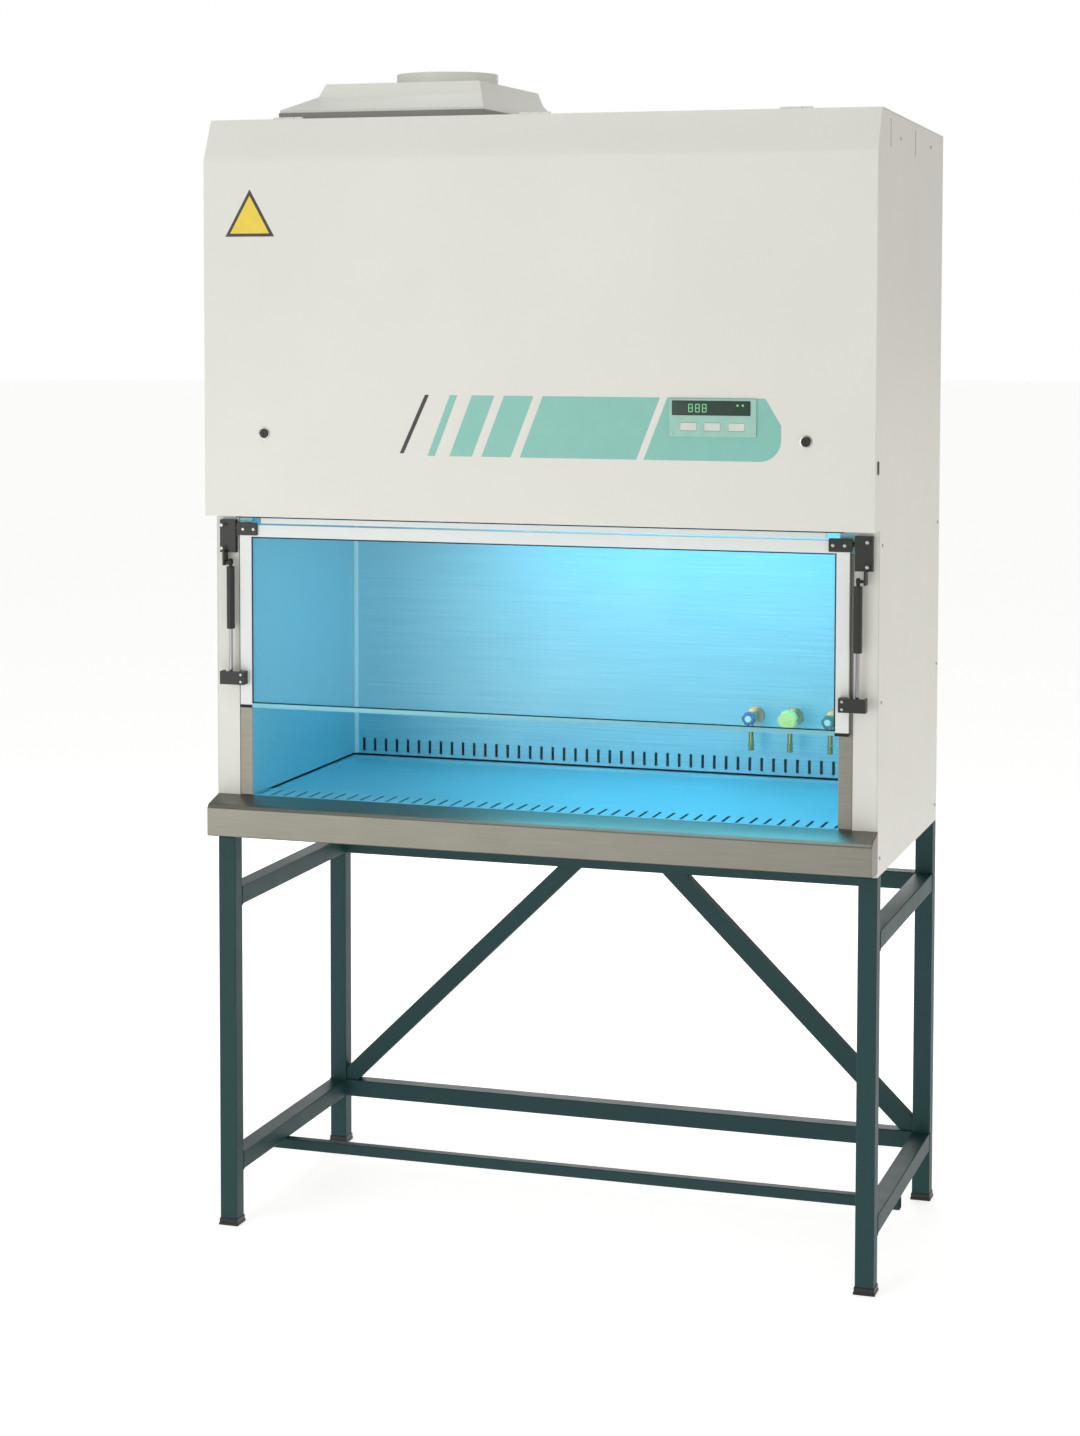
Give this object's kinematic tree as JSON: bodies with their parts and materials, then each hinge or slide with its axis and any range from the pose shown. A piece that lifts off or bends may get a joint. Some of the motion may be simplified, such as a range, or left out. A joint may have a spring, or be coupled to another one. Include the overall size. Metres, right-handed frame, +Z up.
{
  "type": "microbiological safety cabinet",
  "caption": "Class II safety cabinet with hinged glass sash on gas struts, lit work chamber, hinged hood, exhaust cowl and open tubular stand.",
  "frame": {"origin": "on the floor under the middle of the cabinet", "axes": "+Z up, +Y from the operator to the back panel, +X to the right of the operator"},
  "size_m": [1.324, 0.707, 2.302],
  "materials": {
    "teal_paint": "satin powder coat",
    "ivory_paint": "satin powder coat",
    "grey_paint": "satin powder coat",
    "white_paint": "satin powder coat",
    "stainless": "fine brushed",
    "galvanised": "dull zinc",
    "filter_media": "matt pleated",
    "black_metal": "satin black",
    "black_plastic": "fine grain",
    "rod_steel": "polished",
    "clear_glass": "clear",
    "lamp_white": "opal, lit",
    "panel_plastic": "fine grain",
    "key_plastic": "smooth",
    "brass": "satin",
    "blue_plastic": "gloss",
    "yellow_plastic": "gloss",
    "green_plastic": "gloss"
  },
  "bodies": {
    "cabinet": {"leg_front_left": "teal_paint", "leg_front_right": "teal_paint", "leg_rear_left": "teal_paint", "leg_rear_right": "teal_paint", "upper_side_rail_left": "teal_paint", "upper_side_rail_right": "teal_paint", "lower_side_rail_left": "teal_paint", "lower_side_rail_right": "teal_paint", "upper_rear_rail": "teal_paint", "lower_rear_rail": "teal_paint", "foot_bar": "teal_paint", "brace_left": "teal_paint", "brace_right": "teal_paint", "side_panel_left": "ivory_paint", "side_panel_right": "ivory_paint", "back_panel": "ivory_paint", "roof_panel": "ivory_paint", "armrest": "stainless", "sump_pan": "stainless", "pillar_left": "ivory_paint", "pillar_right": "ivory_paint", "liner_left": "stainless", "liner_right": "stainless", "liner_back": "stainless", "front_grille": "stainless", "worktop": "stainless", "supply_filter": "filter_media", "exhaust_filter": "filter_media", "plenum_box": "galvanised", "blower_scroll": "galvanised", "blower_motor": "black_metal", "exhaust_cowl": "grey_paint", "lamp_tube": "lamp_white", "hinge_bracket_left": "black_metal", "hinge_bracket_right": "black_metal", "tap_body_left": "brass", "tap_body_centre": "brass", "tap_body_right": "brass", "mains_inlet": "black_plastic"},
    "sash": {"sash_frame": "white_paint", "sash_glass": "clear_glass", "strut_foot_left": "black_metal", "strut_foot_right": "black_metal"},
    "strut_cylinder_left": {"strut_cylinder_left": "black_metal"},
    "strut_cylinder_right": {"strut_cylinder_right": "black_metal"},
    "strut_rod_left": {"strut_rod_left": "rod_steel"},
    "strut_rod_right": {"strut_rod_right": "rod_steel"},
    "hood": {"hood_cover": "ivory_paint", "control_panel": "panel_plastic"},
    "button_1": {"button_1": "key_plastic"},
    "button_2": {"button_2": "key_plastic"},
    "button_3": {"button_3": "key_plastic"},
    "key_lock_left": {"key_lock_left": "black_metal"},
    "key_lock_right": {"key_lock_right": "black_metal"},
    "side_catch_left": {"side_catch_left": "black_metal"},
    "side_catch_right": {"side_catch_right": "black_metal"},
    "impeller": {"impeller": "galvanised"},
    "tap_knob_left": {"tap_knob_left": "blue_plastic"},
    "tap_knob_centre": {"tap_knob_centre": "yellow_plastic"},
    "tap_knob_right": {"tap_knob_right": "green_plastic"}
  },
  "joints": [
    {"name": "sash_hinge", "type": "hinge", "parent": "cabinet", "child": "sash", "pos_m": [0, -0.302, 1.404], "axis": [-1, 0, 0], "range_deg": [0, 80]},
    {"name": "strut_pivot_left", "type": "hinge", "parent": "cabinet", "child": "strut_cylinder_left", "pos_m": [-0.623, -0.312, 1.337], "axis": [-1, 0, 0], "range_deg": [0, 95.8]},
    {"name": "strut_slide_left", "type": "slide", "parent": "strut_cylinder_left", "child": "strut_rod_left", "axis": [0, 0, -1], "range_m": [0, 0.056]},
    {"name": "strut_pivot_right", "type": "hinge", "parent": "cabinet", "child": "strut_cylinder_right", "pos_m": [0.623, -0.312, 1.337], "axis": [-1, 0, 0], "range_deg": [0, 95.8]},
    {"name": "strut_slide_right", "type": "slide", "parent": "strut_cylinder_right", "child": "strut_rod_right", "axis": [0, 0, -1], "range_m": [0, 0.056]},
    {"name": "hood_hinge", "type": "hinge", "parent": "cabinet", "child": "hood", "pos_m": [0, -0.304, 2.2], "axis": [-1, 0, 0], "range_deg": [0, 75]},
    {"name": "button_press_1", "type": "slide", "parent": "hood", "child": "button_1", "axis": [0, 1, 0], "range_m": [0, 0.001], "stiffness_N_per_m": 300},
    {"name": "button_press_2", "type": "slide", "parent": "hood", "child": "button_2", "axis": [0, 1, 0], "range_m": [0, 0.001], "stiffness_N_per_m": 300},
    {"name": "button_press_3", "type": "slide", "parent": "hood", "child": "button_3", "axis": [0, 1, 0], "range_m": [0, 0.001], "stiffness_N_per_m": 300},
    {"name": "key_lock_turn_left", "type": "hinge", "parent": "hood", "child": "key_lock_left", "pos_m": [-0.534, -0.35, 1.593], "axis": [0, 1, 0], "range_deg": [0, 90]},
    {"name": "key_lock_turn_right", "type": "hinge", "parent": "hood", "child": "key_lock_right", "pos_m": [0.532, -0.35, 1.593], "axis": [0, 1, 0], "range_deg": [0, 90]},
    {"name": "side_catch_turn_left", "type": "hinge", "parent": "hood", "child": "side_catch_left", "pos_m": [-0.66, -0.327, 1.546], "axis": [1, 0, 0], "range_deg": [0, 90]},
    {"name": "side_catch_turn_right", "type": "hinge", "parent": "hood", "child": "side_catch_right", "pos_m": [0.66, -0.327, 1.546], "axis": [1, 0, 0], "range_deg": [0, 90]},
    {"name": "tap_turn_left", "type": "hinge", "parent": "cabinet", "child": "tap_knob_left", "pos_m": [0.3, 0.2174, 0.998], "axis": [0, 1, 0], "range_deg": [0, 90]},
    {"name": "tap_turn_centre", "type": "hinge", "parent": "cabinet", "child": "tap_knob_centre", "pos_m": [0.381, 0.2174, 0.998], "axis": [0, 1, 0], "range_deg": [0, 90]},
    {"name": "tap_turn_right", "type": "hinge", "parent": "cabinet", "child": "tap_knob_right", "pos_m": [0.464, 0.2174, 0.998], "axis": [0, 1, 0], "range_deg": [0, 90]},
    {"name": "impeller_spin", "type": "hinge", "parent": "cabinet", "child": "impeller", "pos_m": [0.26, 0, 1.88], "axis": [1, 0, 0], "continuous": true}
  ],
  "couplings": [
    {"joint": "strut_pivot_left", "follows": "sash_hinge", "ratio": 1.1905},
    {"joint": "strut_slide_left", "follows": "sash_hinge", "m_per_rad": 0.039713},
    {"joint": "strut_pivot_right", "follows": "sash_hinge", "ratio": 1.1905},
    {"joint": "strut_slide_right", "follows": "sash_hinge", "m_per_rad": 0.039713}
  ]
}
